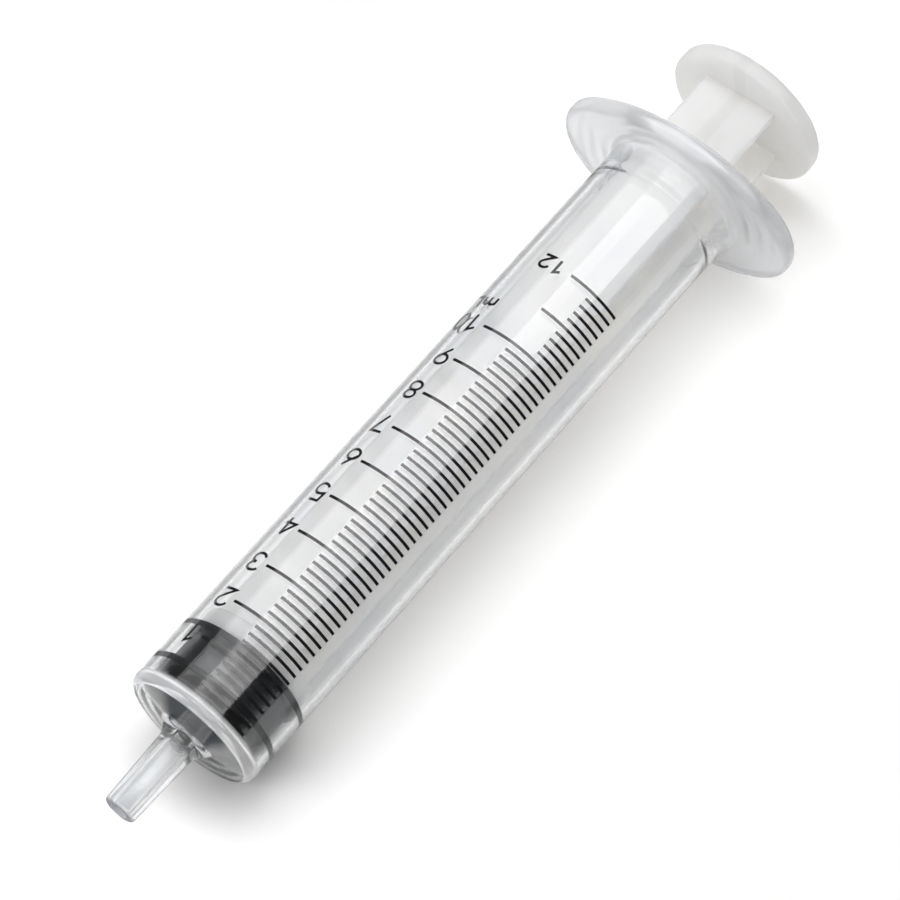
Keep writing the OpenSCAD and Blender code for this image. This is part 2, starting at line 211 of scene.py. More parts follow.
def shade(mesh):
    """Shades a mesh smoothly up to its sharp edges."""
    mesh.shade_smooth()
    mesh.set_sharp_from_angle(angle=math.radians(SHARP_ANGLE))


def mesh_object(bm, name, material):
    """Makes a shaded object of a bmesh."""
    mesh = bpy.data.meshes.new(name)
    bm.to_mesh(mesh)
    bm.free()
    shade(mesh)
    mesh.materials.append(material)
    obj = bpy.data.objects.new(name, mesh)
    bpy.context.scene.collection.objects.link(obj)
    return obj


def finish_mesh(bm, name, material):
    """Makes an object of a closed bmesh in millimetres, with its faces turned outwards."""
    bmesh.ops.remove_doubles(bm, verts=bm.verts, dist=1e-5)
    bmesh.ops.recalc_face_normals(bm, faces=bm.faces)
    bmesh.ops.scale(bm, vec=(MM, MM, MM), verts=bm.verts)
    return mesh_object(bm, name, material)


def ring_grid(bm, rings, closed):
    """Joins rings of vertices into a surface. A ring of one vertex is a pole."""
    for a, b in zip(rings, rings[1:] + rings[:1] if closed else rings[1:]):
        n = max(len(a), len(b))
        for i in range(n):
            j = (i + 1) % n
            corners = [a[i % len(a)], a[j % len(a)], b[j % len(b)], b[i % len(b)]]
            face = [c for k, c in enumerate(corners) if c not in corners[:k]]
            if len(face) > 2:
                bm.faces.new(face)


def turn_profile(bm, profile, segments, closed=False):
    """Turns an outline of (radius, x) points round the X axis. A point may be a function that
    gives the radius at an angle, for the flange."""
    rings = []
    for radius, x in profile:
        if radius == 0:
            rings.append([bm.verts.new((x, 0, 0))])
            continue
        ring = []
        for i in range(segments):
            t = 2 * math.pi * i / segments
            r = radius(t) if callable(radius) else radius
            ring.append(bm.verts.new((x, r * math.sin(t), r * math.cos(t))))
        rings.append(ring)
    ring_grid(bm, rings, closed)


def turned(name, profile, material, segments=160, closed=False):
    """An object turned round the X axis. A closed profile ends where it starts."""
    bm = bmesh.new()
    turn_profile(bm, profile, segments, closed)
    return finish_mesh(bm, name, material)


def bake_object(obj):
    """Replaces an object's mesh with what its modifiers make of it."""
    graph = bpy.context.evaluated_depsgraph_get()
    mesh = bpy.data.meshes.new_from_object(obj.evaluated_get(graph))
    obj.modifiers.clear()
    obj.data = mesh
    return obj


def join_objects(name, objects, material):
    """One object of several objects' meshes, in one material."""
    bm = bmesh.new()
    for o in objects:
        bm.from_mesh(o.data)
    for face in bm.faces:
        face.material_index = 0
    for o in objects:
        bpy.data.objects.remove(o)
    return mesh_object(bm, name, material)


# Materials

# Settings of a Mix node that turns one colour into another or darkens one by another. Input 0 is
# the share, inputs 6 and 7 are the colours, and output 2 is the colour that results.
TURN = {"data_type": "RGBA"}
DARKEN = {"data_type": "RGBA", "blend_type": "MULTIPLY"}
WHITE = (1, 1, 1, 1)


def linear(code):
    """A linear colour with alpha from an sRGB hex value."""
    values = [int(code[i:i + 2], 16) / 255 for i in (1, 3, 5)]
    return [v / 12.92 if v <= 0.04045 else ((v + 0.055) / 1.055) ** 2.4 for v in values] + [1]


def node(tree, kind, settings=None, stops=(), **links):
    """Adds a node. settings sets its properties, stops are a colour ramp's positions with a hex
    colour or a grey for each, and links sets its inputs, by value or by socket. An input is given
    by its name, or by i and its number where several share a name."""
    made = tree.nodes.new(kind)
    for key, value in (settings or {}).items():
        setattr(made, key, value)
    if stops:
        points = made.color_ramp.elements
        while len(points) < len(stops):
            points.new(0.5)
        for point, (at, colour) in zip(points, stops):
            point.position = at
            point.color = linear(colour) if isinstance(colour, str) else [colour] * 3 + [1]
    for key, value in links.items():
        numbered = key[0] == "i" and key[1:].isdigit()
        socket = made.inputs[int(key[1:]) if numbered else key.replace("_", " ")]
        if isinstance(value, bpy.types.NodeSocket):
            tree.links.new(value, socket)
        else:
            socket.default_value = value
    return made


def new_material(name):
    """A material and its empty node tree."""
    material = bpy.data.materials.new(name)
    material.use_nodes = True
    tree = material.node_tree
    tree.nodes.clear()
    return material, tree


def noise(tree, size, detail=2.0, stretch=(1, 1, 1), distortion=0.0):
    """Noise on object coordinates, whose features are about size millimetres across."""
    place = node(tree, "ShaderNodeTexCoord")
    spread = node(tree, "ShaderNodeMapping", Vector=place.outputs["Object"], Scale=stretch)
    made = node(tree, "ShaderNodeTexNoise", Vector=spread.outputs["Vector"],
                Scale=1 / (size * MM), Detail=detail, Roughness=0.5, Distortion=distortion)
    return made.outputs["Fac"]


def clear_polypropylene():
    """Clarified polypropylene, injection moulded in a polished mould: glassy in the thin tube,
    milky in the thick shoulder and the flange, with swirls where it flowed into the flange."""
    material, tree = new_material("clear polypropylene moulding")
    place = node(tree, "ShaderNodeTexCoord")
    axes = node(tree, "ShaderNodeSeparateXYZ", Vector=place.outputs["Object"])
    # The ramps run along the barrel, as shares of its length: the nozzle ends at 0.107, the
    # shoulder's bend runs from 0.115 to 0.127, and the flange starts at 0.977.
    along = node(tree, "ShaderNodeMath", {"operation": "DIVIDE"}, i0=axes.outputs["X"],
                 i1=FLANGE_REAR_X * MM).outputs["Value"]
    across = node(tree, "ShaderNodeMapping", Vector=place.outputs["Object"], Scale=(0, 1, 1))
    radius = node(tree, "ShaderNodeVectorMath", {"operation": "LENGTH"},
                  i0=across.outputs["Vector"])
    outer = node(tree, "ShaderNodeMapRange", Value=radius.outputs["Value"],
                 From_Min=INNER_SKIN_R * MM, From_Max=OUTER_SKIN_R * MM).outputs["Result"]

    # The share of light that the inner and the outer surfaces let through unscattered
    inside = node(tree, "ShaderNodeValToRGB", Fac=along, stops=[
        (0.0, 0.82), (0.094, 0.85), (0.104, 0.985), (0.14, 0.997), (0.95, 0.997), (0.98, 0.82)])
    outside = node(tree, "ShaderNodeValToRGB", Fac=along, stops=[
        (0.114, 0.68), (0.12, 0.55), (0.129, 0.5), (0.134, 0.995), (0.95, 0.995), (0.98, 0.62)])
    clarity = node(tree, "ShaderNodeMix", TURN, i0=outer, i6=inside.outputs["Color"],
                   i7=outside.outputs["Color"])

    # Flow lines about 2 mm apart and swirls about 6 mm across, in the flange only
    at_flange = node(tree, "ShaderNodeValToRGB", Fac=along,
                     stops=[(0.93, 0.0), (0.98, 1.0)]).outputs["Color"]
    rings = node(tree, "ShaderNodeTexWave", {"wave_type": "RINGS", "rings_direction": "X"},
                 Vector=place.outputs["Object"], Scale=WAVE_TURN / (1.9 * MM), Distortion=2.2,
                 Detail=2.0, Detail_Scale=0.6)
    swirls = node(tree, "ShaderNodeMath", {"operation": "ADD"},
                  i0=noise(tree, 6, 1.5, distortion=1.2), i1=rings.outputs["Fac"])
    height = node(tree, "ShaderNodeMath", {"operation": "MULTIPLY"},
                  i0=swirls.outputs["Value"], i1=at_flange)
    bump = node(tree, "ShaderNodeBump", Height=height.outputs["Value"],
                Strength=1.0, Distance=0.075 * MM)
    rough = node(tree, "ShaderNodeValToRGB", Fac=along, stops=[
        (0.0, 0.12), (0.1, 0.1), (0.12, 0.03), (0.93, 0.03), (0.98, 0.18)])
    clear_tint = node(tree, "ShaderNodeValToRGB", Fac=noise(tree, 9, 3),
                      stops=[(0.35, "#f6f8fb"), (0.6, "#fcfdfd")])
    cloudy_tint = node(tree, "ShaderNodeValToRGB", Fac=noise(tree, 9, 3),
                       stops=[(0.35, "#e4e6e9"), (0.6, "#ebecee")])
    tint = node(tree, "ShaderNodeMix", TURN, i0=at_flange, i6=clear_tint.outputs["Color"],
                i7=cloudy_tint.outputs["Color"])
    shader = node(tree, "ShaderNodeBsdfPrincipled", Base_Color=tint.outputs[2], IOR=1.49,
                  Roughness=rough.outputs["Color"], Normal=bump.outputs["Normal"],
                  Transmission_Weight=clarity.outputs[2])

    # Lamps shine through the thin walls, and are bent away where they pass them at a slant and
    # in the thick front.
    facing = node(tree, "ShaderNodeLayerWeight", Blend=0.35)
    slant = node(tree, "ShaderNodeValToRGB", Fac=facing.outputs["Facing"],
                 stops=[(0.0, 0.99), (0.75, 0.96), (1.0, 0.65)])
    thick = node(tree, "ShaderNodeValToRGB", Fac=along, stops=[
        (0.0, 1.0), (0.09, 1.0), (0.1, 0.5), (0.115, 0.05), (0.14, 0.1), (0.16, 1.0),
        (0.95, 1.0), (0.98, 0.9)])
    passed = node(tree, "ShaderNodeMix", DARKEN, i0=1.0, i6=slant.outputs["Color"],
                  i7=thick.outputs["Color"])
    through = node(tree, "ShaderNodeBsdfTransparent", Color=passed.outputs[2])
    path = node(tree, "ShaderNodeLightPath")
    soft_ray = node(tree, "ShaderNodeMath", {"operation": "MAXIMUM"},
                    i0=path.outputs["Is Shadow Ray"], i1=path.outputs["Is Diffuse Ray"])
    mix = node(tree, "ShaderNodeMixShader", Fac=soft_ray.outputs["Value"],
               i1=shader.outputs["BSDF"], i2=through.outputs["BSDF"])
    node(tree, "ShaderNodeOutputMaterial", Surface=mix.outputs["Shader"])
    return material


def black_rubber():
    """Chlorobutyl rubber, moulded in a fine satin mould and wiped with silicone oil: a deep
    blue-black with a soft sheen."""
    material, tree = new_material("black moulded rubber")
    colour = node(tree, "ShaderNodeValToRGB", Fac=noise(tree, 2.5, 4),
                  stops=[(0.3, "#111417"), (0.7, "#191c20")])
    rough = node(tree, "ShaderNodeMapRange", Value=noise(tree, 1.2, 4), To_Min=0.2, To_Max=0.3)
    bump = node(tree, "ShaderNodeBump", Height=noise(tree, 0.25, 3), Strength=0.1,
                Distance=0.02 * MM)
    shader = node(tree, "ShaderNodeBsdfPrincipled", Base_Color=colour.outputs["Color"],
                  Roughness=rough.outputs["Result"], IOR=1.65, Normal=bump.outputs["Normal"])
    node(tree, "ShaderNodeOutputMaterial", Surface=shader.outputs["BSDF"])
    return material


def milky_polypropylene():
    """Natural polypropylene, injection moulded and left uncoloured: milky white, with light
    spreading a few millimetres inside it, and satin from the mould."""
    material, tree = new_material("milky polypropylene moulding")
    cloudy = node(tree, "ShaderNodeValToRGB", Fac=noise(tree, 6, 3),
                  stops=[(0.3, "#e6e6e5"), (0.7, "#ebebeb")])
    place = node(tree, "ShaderNodeTexCoord")
    axes = node(tree, "ShaderNodeSeparateXYZ", Vector=place.outputs["Object"])
    aside = node(tree, "ShaderNodeMath", {"operation": "ABSOLUTE"}, i0=axes.outputs["Y"])
    share = node(tree, "ShaderNodeMath", {"operation": "DIVIDE"}, i0=aside.outputs["Value"],
                 i1=PLATE_W / 2 * MM)
    # Painted shade and light: the colour is darker along the middle of each plate, where the web
    # holds light back, and a little lighter at the plates' edges, which pass light on.
    painted_web_shade = node(tree, "ShaderNodeValToRGB", Fac=share.outputs["Value"], stops=[
        (0.0, 0.93), (0.12, 0.93), (0.2, 0.985), (0.9, 0.985), (1.0, 1.0)])
    colour = node(tree, "ShaderNodeMix", DARKEN, i0=1.0, i6=cloudy.outputs["Color"],
                  i7=painted_web_shade.outputs["Color"])
    rough = node(tree, "ShaderNodeMapRange", Value=noise(tree, 2, 4), To_Min=0.3, To_Max=0.42)
    bump = node(tree, "ShaderNodeBump", Height=noise(tree, 1.5, 3), Strength=0.2,
                Distance=0.05 * MM)
    shader = node(tree, "ShaderNodeBsdfPrincipled", Base_Color=colour.outputs[2],
                  Roughness=rough.outputs["Result"], IOR=1.49, Normal=bump.outputs["Normal"],
                  Subsurface_Weight=1.0, Subsurface_Radius=(1.0, 0.95, 0.85),
                  Subsurface_Scale=7 * MM, Transmission_Weight=0.3)
    # A part of the lamps' light comes through the plates, less of it at a slant.
    facing = node(tree, "ShaderNodeLayerWeight", Blend=0.4)
    passed = node(tree, "ShaderNodeValToRGB", Fac=facing.outputs["Facing"],
                  stops=[(0.0, "#f0eeea"), (1.0, "#d0ceca")])
    through = node(tree, "ShaderNodeBsdfTransparent", Color=passed.outputs["Color"])
    path = node(tree, "ShaderNodeLightPath")
    mix = node(tree, "ShaderNodeMixShader", Fac=path.outputs["Is Shadow Ray"],
               i1=shader.outputs["BSDF"], i2=through.outputs["BSDF"])
    node(tree, "ShaderNodeOutputMaterial", Surface=mix.outputs["Shader"])
    return material


def scale_ink():
    """Screen-printed ink, black and glossy, a little thinner in places as a screen leaves it."""
    material, tree = new_material("printed black ink")
    colour = node(tree, "ShaderNodeValToRGB", Fac=noise(tree, 0.6, 4),
                  stops=[(0.3, "#131314"), (0.7, "#232325")])
    rough = node(tree, "ShaderNodeMapRange", Value=noise(tree, 0.8, 3), To_Min=0.05, To_Max=0.12)
    shader = node(tree, "ShaderNodeBsdfPrincipled", Base_Color=colour.outputs["Color"],
                  Roughness=rough.outputs["Result"], IOR=1.7)
    node(tree, "ShaderNodeOutputMaterial", Surface=shader.outputs["BSDF"])
    return material


clear_plastic = clear_polypropylene()
rubber = black_rubber()
milky_plastic = milky_polypropylene()
ink = scale_ink()


# Barrel: nozzle, tube and oval finger flange in one closed skin

def make_barrel():
    """The barrel's outline, from the nozzle's tip over the flange and back through the bore."""
    tip, root = (NOZZLE_TIP_R, 0), (NOZZLE_BASE_R, NOZZLE_LEN)
    shoulder = (BARREL_R, front_x(BARREL_R))
    hub = (BARREL_R, FLANGE_FRONT_X)
    mouth = (BORE_R, FLANGE_REAR_X - MOUTH_LEN)
    cone_rim, cone_end = (BORE_R, cone_x(BORE_R)), (PASSAGE_R, cone_x(PASSAGE_R))
    in_passage = (PASSAGE_R, NOZZLE_LEN / 2)
    skin = rounded(in_passage, (PASSAGE_R, 0), tip, PASSAGE_LIP_R, 4)
    skin += rounded((PASSAGE_R, 0), tip, root, NOZZLE_LIP_R)
    skin += rounded(tip, root, shoulder, NOZZLE_ROOT_R, 16)
    skin += rounded(root, shoulder, hub, SHOULDER_R, 16)
    skin += [(BARREL_R, x) for x in TUBE_RINGS]
    skin += rounded(shoulder, hub, (HUB_R + 1, FLANGE_FRONT_X), HUB_R - BARREL_R, 12)

    def web(share):
        return lambda t: HUB_R + (flange_reach(t, FLANGE_RIM_R) - HUB_R) * share

    def rim(inset):
        return lambda t: flange_reach(t, inset)

    web_steps, rim_steps, bead_steps = 5, 10, 12
    for k in range(1, web_steps + 1):
        skin.append((web(k / web_steps), FLANGE_FRONT_X))
    for k in range(1, rim_steps + 1):
        a = math.pi / 2 * k / rim_steps
        skin.append((rim(FLANGE_RIM_R * (1 - math.sin(a))),
                     FLANGE_FRONT_X + FLANGE_RIM_R * (1 - math.cos(a))))
    for k in range(rim_steps + 1):
        a = math.pi / 2 * k / rim_steps
        skin.append((rim(FLANGE_RIM_R * (1 - math.cos(a))),
                     FLANGE_REAR_X - FLANGE_RIM_R * (1 - math.sin(a))))
    for k in range(web_steps - 1, -1, -1):
        skin.append((web(k / web_steps), FLANGE_REAR_X))
    skin += rounded((HUB_R, FLANGE_REAR_X), (MOUTH_R, FLANGE_REAR_X), mouth, MOUTH_EDGE_R, 5)
    skin += [mouth]
    for k in range(bead_steps + 1):
        s = k / bead_steps
        skin.append((BORE_R - BEAD_H * (0.5 - 0.5 * math.cos(2 * math.pi * s)),
                     BEAD_X + BEAD_W * (0.5 - s)))
    skin += [(BORE_R, x) for x in reversed(TUBE_RINGS)]
    skin += rounded(mouth, cone_rim, cone_end, BORE_CORNER_R)
    skin += rounded(cone_rim, cone_end, in_passage, PASSAGE_END_R, 4)
    return turned("barrel_moulding", skin, clear_plastic, BARREL_SEGMENTS, closed=True)


# Gasket: cone face, front land, two sealing ribs, and the pocket for the snap tip

def make_gasket():
    """The gasket's outline, from the middle of its face over the ribs and into the pocket."""
    face, edge = (0, cone_x(0) + GASKET_GAP), (LAND_R, cone_x(LAND_R) + GASKET_GAP)
    rib_1 = ZERO_X + LAND_LEN
    rib_2 = GASKET_REAR_X - RIB_W
    land_end, lead = (LAND_R, rib_1), (SEAL_R, rib_1)
    rib_end, waist = (SEAL_R, rib_1 + RIB_W), (WAIST_R, rib_1 + RIB_W)
    waist_end, rear_rib = (WAIST_R, rib_2), (SEAL_R, rib_2)
    rear = (SEAL_R, GASKET_REAR_X)
    skin = [face] + rounded(face, edge, land_end, FACE_EDGE_R)
    skin += rounded(edge, land_end, lead, LAND_ROOT_R, 4)
    skin += rounded(land_end, lead, rib_end, RIB_LEAD_R)
    skin += rounded(lead, rib_end, waist, RIB_EDGE_R)
    skin += rounded(rib_end, waist, waist_end, WAIST_ROOT_R, 6)
    skin += rounded(waist, waist_end, rear_rib, WAIST_ROOT_R, 6)
    skin += rounded(waist_end, rear_rib, rear, RIB_EDGE_R)
    skin += rounded(rear_rib, rear, (0, GASKET_REAR_X), RIB_EDGE_R)
    skin += [(NECK_R + POCKET_GAP, GASKET_REAR_X), (NECK_R + POCKET_GAP, BARB_REAR_X + POCKET_GAP),
             (BARB_R + POCKET_GAP, BARB_REAR_X + POCKET_GAP),
             (BARB_NOSE_R + POCKET_GAP, BARB_NOSE_X - POCKET_GAP), (0, BARB_NOSE_X - POCKET_GAP)]
    return turned("gasket_rubber", skin, rubber, GASKET_SEGMENTS)


# Plunger rod: snap tip, front disc, beam and thumb rest, welded into one skin

def rod_beam():
    """Two side plates joined by a web, with filleted inner corners, as one closed prism."""
    outer, inner = (PLATE_W / 2, PLATE_FACE), (PLATE_W / 2, PLATE_FACE - PLATE_T)
    root = (WEB_T / 2, PLATE_FACE - PLATE_T)
    quarter = rounded((0, PLATE_FACE), outer, inner, PLATE_EDGE_R, 4)
    quarter += rounded(outer, inner, root, PLATE_EDGE_R, 4)
    quarter += rounded(inner, root, (WEB_T / 2, 0), WEB_ROOT_R, 8)
    half = quarter + [(y, -z) for y, z in reversed(quarter)]
    outline = half + [(-y, z) for y, z in reversed(half)]
    bm = bmesh.new()
    ends = [[bm.verts.new((x, y, z)) for y, z in outline]
            for x in (DISC_REAR_X - BEAM_OVERLAP, THUMB_FRONT_X + BEAM_OVERLAP)]
    bm.faces.new(ends[0])
    bm.faces.new(ends[1])
    ring_grid(bm, ends, False)
    return finish_mesh(bm, "rod_beam", milky_plastic)


def make_rod():
    """The rod's front and thumb rest are turned, and welded to the ends of its beam."""
    disc_front, disc_rear = (DISC_R, DISC_FRONT_X), (DISC_R, DISC_REAR_X)
    front = [(0, BARB_NOSE_X), (BARB_NOSE_R, BARB_NOSE_X), (BARB_R, BARB_REAR_X),
             (NECK_R, BARB_REAR_X), (NECK_R, DISC_FRONT_X)]
    front += rounded((0, DISC_FRONT_X), disc_front, disc_rear, DISC_EDGE_R)
    front += rounded(disc_front, disc_rear, (0, DISC_REAR_X), DISC_EDGE_R)
    front += [(0, DISC_REAR_X)]

    rim_front, rim_rear = (THUMB_R, THUMB_FRONT_X), (THUMB_R, THUMB_REAR_X)
    dish_x = THUMB_REAR_X - DISH_DEPTH
    rest = [(0, THUMB_FRONT_X)]
    rest += rounded((0, THUMB_FRONT_X), rim_front, rim_rear, THUMB_FRONT_R)
    rest += rounded(rim_front, rim_rear, (0, THUMB_REAR_X), THUMB_REAR_R)
    rest += rounded(rim_rear, (DISH_R, THUMB_REAR_X), (DISH_R - DISH_SLOPE_W, dish_x),
                    DISH_EDGE_R, 6)
    rest += [(DISH_FLOOR_R, dish_x), (0, dish_x)]

    body = rod_beam()
    ends = (turned("rod_front", front, milky_plastic), turned("thumb_rest", rest, milky_plastic))
    for end in ends:
        weld = body.modifiers.new("weld", "BOOLEAN")
        weld.operation, weld.solver, weld.object = "UNION", "EXACT", end
        bake_object(body)
        bpy.data.objects.remove(end)
    shade(body.data)
    body.name = "plunger_rod_moulding"
    return body


# Printed scale

def line_tree():
    """Geometry Nodes that rule lines round a cylinder about X. Every Skip-th line is left out,
    from the first, and none where Skip is 0."""
    tree = bpy.data.node_groups.new("ruled lines", "GeometryNodeTree")
    sockets = [("Radius", "NodeSocketFloat"), ("Thickness", "NodeSocketFloat"),
               ("Line Width", "NodeSocketFloat"), ("First", "NodeSocketFloat"),
               ("Step", "NodeSocketFloat"), ("Count", "NodeSocketInt"),
               ("Skip", "NodeSocketInt"), ("Start Angle", "NodeSocketFloat"),
               ("Sweep Angle", "NodeSocketFloat"), ("Ink", "NodeSocketMaterial")]
    for name, kind in sockets:
        tree.interface.new_socket(name, in_out="INPUT", socket_type=kind)
    tree.interface.new_socket("Geometry", in_out="OUTPUT", socket_type="NodeSocketGeometry")
    given = tree.nodes.new("NodeGroupInput").outputs
    middle = node(tree, "ShaderNodeMath", {"operation": "MULTIPLY_ADD"},
                  i0=given["Thickness"], i1=0.5, i2=given["Radius"])
    arc = node(tree, "GeometryNodeCurveArc", {"mode": "RADIUS"}, Resolution=48,
               Radius=middle.outputs["Value"], Start_Angle=given["Start Angle"],
               Sweep_Angle=given["Sweep Angle"])
    section = node(tree, "GeometryNodeCurvePrimitiveQuadrilateral", {"mode": "RECTANGLE"},
                   Width=given["Thickness"], Height=given["Line Width"])
    line = node(tree, "GeometryNodeCurveToMesh", Curve=arc.outputs["Curve"],
                Profile_Curve=section.outputs["Curve"], Fill_Caps=True)
    standing = node(tree, "GeometryNodeTransform", Geometry=line.outputs["Mesh"],
                    Rotation=(0, -math.pi / 2, 0))
    first = node(tree, "ShaderNodeCombineXYZ", X=given["First"])
    step = node(tree, "ShaderNodeCombineXYZ", X=given["Step"])
    places = node(tree, "GeometryNodeMeshLine", {"mode": "OFFSET"}, Count=given["Count"],
                  Start_Location=first.outputs["Vector"], Offset=step.outputs["Vector"])
    index = node(tree, "GeometryNodeInputIndex")
    share = node(tree, "ShaderNodeMath", {"operation": "FLOORED_MODULO"},
                 i0=index.outputs["Index"], i1=given["Skip"])
    left_out = node(tree, "ShaderNodeMath", {"operation": "LESS_THAN"},
                    i0=share.outputs["Value"], i1=0.5)
    skips = node(tree, "ShaderNodeMath", {"operation": "GREATER_THAN"}, i0=given["Skip"], i1=0.5)
    drop = node(tree, "ShaderNodeMath", {"operation": "MULTIPLY"},
                i0=left_out.outputs["Value"], i1=skips.outputs["Value"])
    kept = node(tree, "GeometryNodeDeleteGeometry", {"domain": "POINT"},
                Geometry=places.outputs["Mesh"], Selection=drop.outputs["Value"])
    many = node(tree, "GeometryNodeInstanceOnPoints", Points=kept.outputs["Geometry"],
                Instance=standing.outputs["Geometry"])
    real = node(tree, "GeometryNodeRealizeInstances", Geometry=many.outputs["Instances"])
    inked = node(tree, "GeometryNodeSetMaterial", Geometry=real.outputs["Geometry"],
                 Material=given["Ink"])
    out = tree.nodes.new("NodeGroupOutput")
    tree.links.new(inked.outputs["Geometry"], out.inputs["Geometry"])
    return tree


def ruled_lines(tree, first, step, count, skip, length):
    """Lines of one length at even steps, as a plain mesh."""
    mesh = bpy.data.meshes.new("lines")
    obj = bpy.data.objects.new("lines", mesh)
    bpy.context.scene.collection.objects.link(obj)
    ruled = obj.modifiers.new("ruled", "NODES")
    ruled.node_group = tree
    values = {"Radius": INK_INNER_R * MM, "Thickness": INK_T * MM, "Line Width": LINE_W * MM,
              "First": first * MM, "Step": step * MM, "Count": count, "Skip": skip,
              "Start Angle": -SCALE_EDGE / BARREL_R, "Sweep Angle": length / BARREL_R,
              "Ink": ink}
    for item in tree.interface.items_tree:
        if item.in_out == "INPUT":
            ruled[item.identifier] = values[item.name]
    return bake_object(obj)


def make_lines():
    """The lines from 0 to 12: long up to 10 and short beyond it, and shorter ones every fifth."""
    tree = line_tree()
    fifth = ML_LEN / ML_PARTS
    ten = ZERO_X + NOMINAL_ML * ML_LEN
    extra_ml = SCALE_ML - NOMINAL_ML
    whole = [ruled_lines(tree, ZERO_X, ML_LEN, NOMINAL_ML + 1, 0, LINE_LONG),
             ruled_lines(tree, ten + ML_LEN, ML_LEN, extra_ml, 0, LINE_SHORT)]
    parts = [ruled_lines(tree, ZERO_X, fifth, NOMINAL_ML * ML_PARTS, ML_PARTS, LINE_SHORT),
             ruled_lines(tree, ten, fifth, extra_ml * ML_PARTS, ML_PARTS, LINE_EXTRA)]
    return (join_objects("millilitre_ink", whole, ink),
            join_objects("division_ink", parts, ink))


def bow(cx, cy, rx, ry, a, b):
    """Points every 9 degrees or less along an arc of a stroke, from the angle a to the angle b."""
    n = max(4, math.ceil(abs(b - a) / 9))
    return [(cx + rx * math.cos(math.radians(a + (b - a) * i / n)),
             cy + ry * math.sin(math.radians(a + (b - a) * i / n))) for i in range(n + 1)]


def digit_strokes(d, w, h):
    """Middle lines of a numeral's strokes, w wide and h high between the outer ones. A 9 is a 6
    turned round."""
    if d == 0:
        return [bow(w / 2, h / 2, w / 2, h / 2, 90, 450)]
    if d == 1:
        return [[(w * 0.12, h * 0.77), (w * 0.64, h), (w * 0.64, 0)]]
    if d == 2:
        return [bow(w / 2, h * 0.72, w / 2, h * 0.28, 170, -35) + [(0, 0), (w, 0)]]
    if d == 3:
        return [bow(w / 2, h * 0.76, w / 2, h * 0.24, 160, -90),
                bow(w / 2, h * 0.26, w / 2, h * 0.26, 90, -160)]
    if d == 4:
        return [[(w * 0.72, 0), (w * 0.72, h)], [(w * 0.72, h), (0, h * 0.3), (w, h * 0.3)]]
    if d == 5:
        return [[(w * 0.92, h), (w * 0.12, h), (w * 0.04, h * 0.52)]
                + bow(w / 2, h * 0.3, w / 2, h * 0.3, 120, -150)]
    if d == 6:
        return [[(w * 0.82, h)] + bow(w / 2, h * 0.3, w / 2, h * 0.3, 180, 540)]
    if d == 7:
        return [[(0, h), (w, h), (w * 0.34, 0)]]
    if d == 8:
        return [bow(w / 2, h * 0.76, w * 0.44, h * 0.24, 90, 450),
                bow(w / 2, h * 0.26, w / 2, h * 0.26, 90, 450)]
    return [[(w - x, h - y) for x, y in stroke] for stroke in digit_strokes(6, w, h)]


def add_stroke(bm, path, x, arc):
    """Lays an even stroke on the barrel. The path reads towards +Y with its top towards -X."""
    fine = [Vector(path[0])]
    for end in path[1:]:
        start = fine[-1].copy()
        steps = max(1, math.ceil((Vector(end) - start).length / STROKE_STEP))
        fine += [start.lerp(Vector(end), (k + 1) / steps) for k in range(steps)]
    last = len(fine) - 1
    rows = []
    for i, p in enumerate(fine):
        ahead = unit(fine[min(i + 1, last)] - fine[min(i, last - 1)])
        behind = unit(fine[max(i, 1)] - fine[max(i - 1, 0)])
        side = unit(Vector((-ahead.y - behind.y, ahead.x + behind.x)))
        # A corner is mitred, up to two and a half times the half width.
        reach = STROKE_W / 2 / max(0.4, side.dot(Vector((-ahead.y, ahead.x))))
        row = []
        for edge, r in ((1, INK_INNER_R), (1, INK_INNER_R + INK_T), (-1, INK_INNER_R + INK_T),
                        (-1, INK_INNER_R)):
            q = p + side * (reach * edge)
            a = (arc + q.x) / BARREL_R
            row.append(bm.verts.new((x - q.y, r * math.sin(a), r * math.cos(a))))
        rows.append(row)
    bm.faces.new(rows[0])
    bm.faces.new(rows[-1])
    ring_grid(bm, rows, False)


def make_numerals():
    """The numerals 1 to 10 and a smaller 12, each centred on its line."""
    bm = bmesh.new()
    full = (DIGIT_W, DIGIT_H, LINE_LONG - SCALE_EDGE + LABEL_GAP)
    small = (DIGIT_W * SMALL_DIGIT_H / DIGIT_H, SMALL_DIGIT_H,
             LINE_SHORT - SCALE_EDGE + END_LABEL_GAP)
    for ml in [*range(1, NOMINAL_ML + 1), SCALE_ML]:
        outer_w, outer_h, near = small if ml == SCALE_ML else full
        w, h = outer_w - STROKE_W, outer_h - STROKE_W
        for k, d in enumerate(str(ml)):
            arc = near + STROKE_W / 2 + k * (outer_w + DIGIT_GAP)
            for stroke in digit_strokes(int(d), w, h):
                add_stroke(bm, stroke, ZERO_X + ml * ML_LEN + h / 2, arc)
    return finish_mesh(bm, "numeral_ink", ink)


def make_unit_mark():
    """The letters mL on one foot line behind the ten."""
    bm = bmesh.new()
    foot_x = ZERO_X + NOMINAL_ML * ML_LEN + UNIT_OFFSET - STROKE_W / 2
    near = LINE_LONG - SCALE_EDGE + UNIT_GAP + STROKE_W / 2
    m_height, l_height = UNIT_LOW_H - STROKE_W, UNIT_CAP_H - STROKE_W
    bow_r = UNIT_ARCH / 2
    spring = m_height - bow_r
    add_stroke(bm, [(0, 0), (0, m_height)], foot_x, near)
    for k in (0, 1):
        add_stroke(bm, bow((k + 0.5) * UNIT_ARCH, spring, bow_r, bow_r, 180, 0)
                   + [((k + 1) * UNIT_ARCH, 0)], foot_x, near)
    add_stroke(bm, [(0, l_height), (0, 0), (UNIT_FOOT, 0)], foot_x,
               near + 2 * UNIT_ARCH + STROKE_W + LETTER_GAP)
    return finish_mesh(bm, "unit_ink", ink)


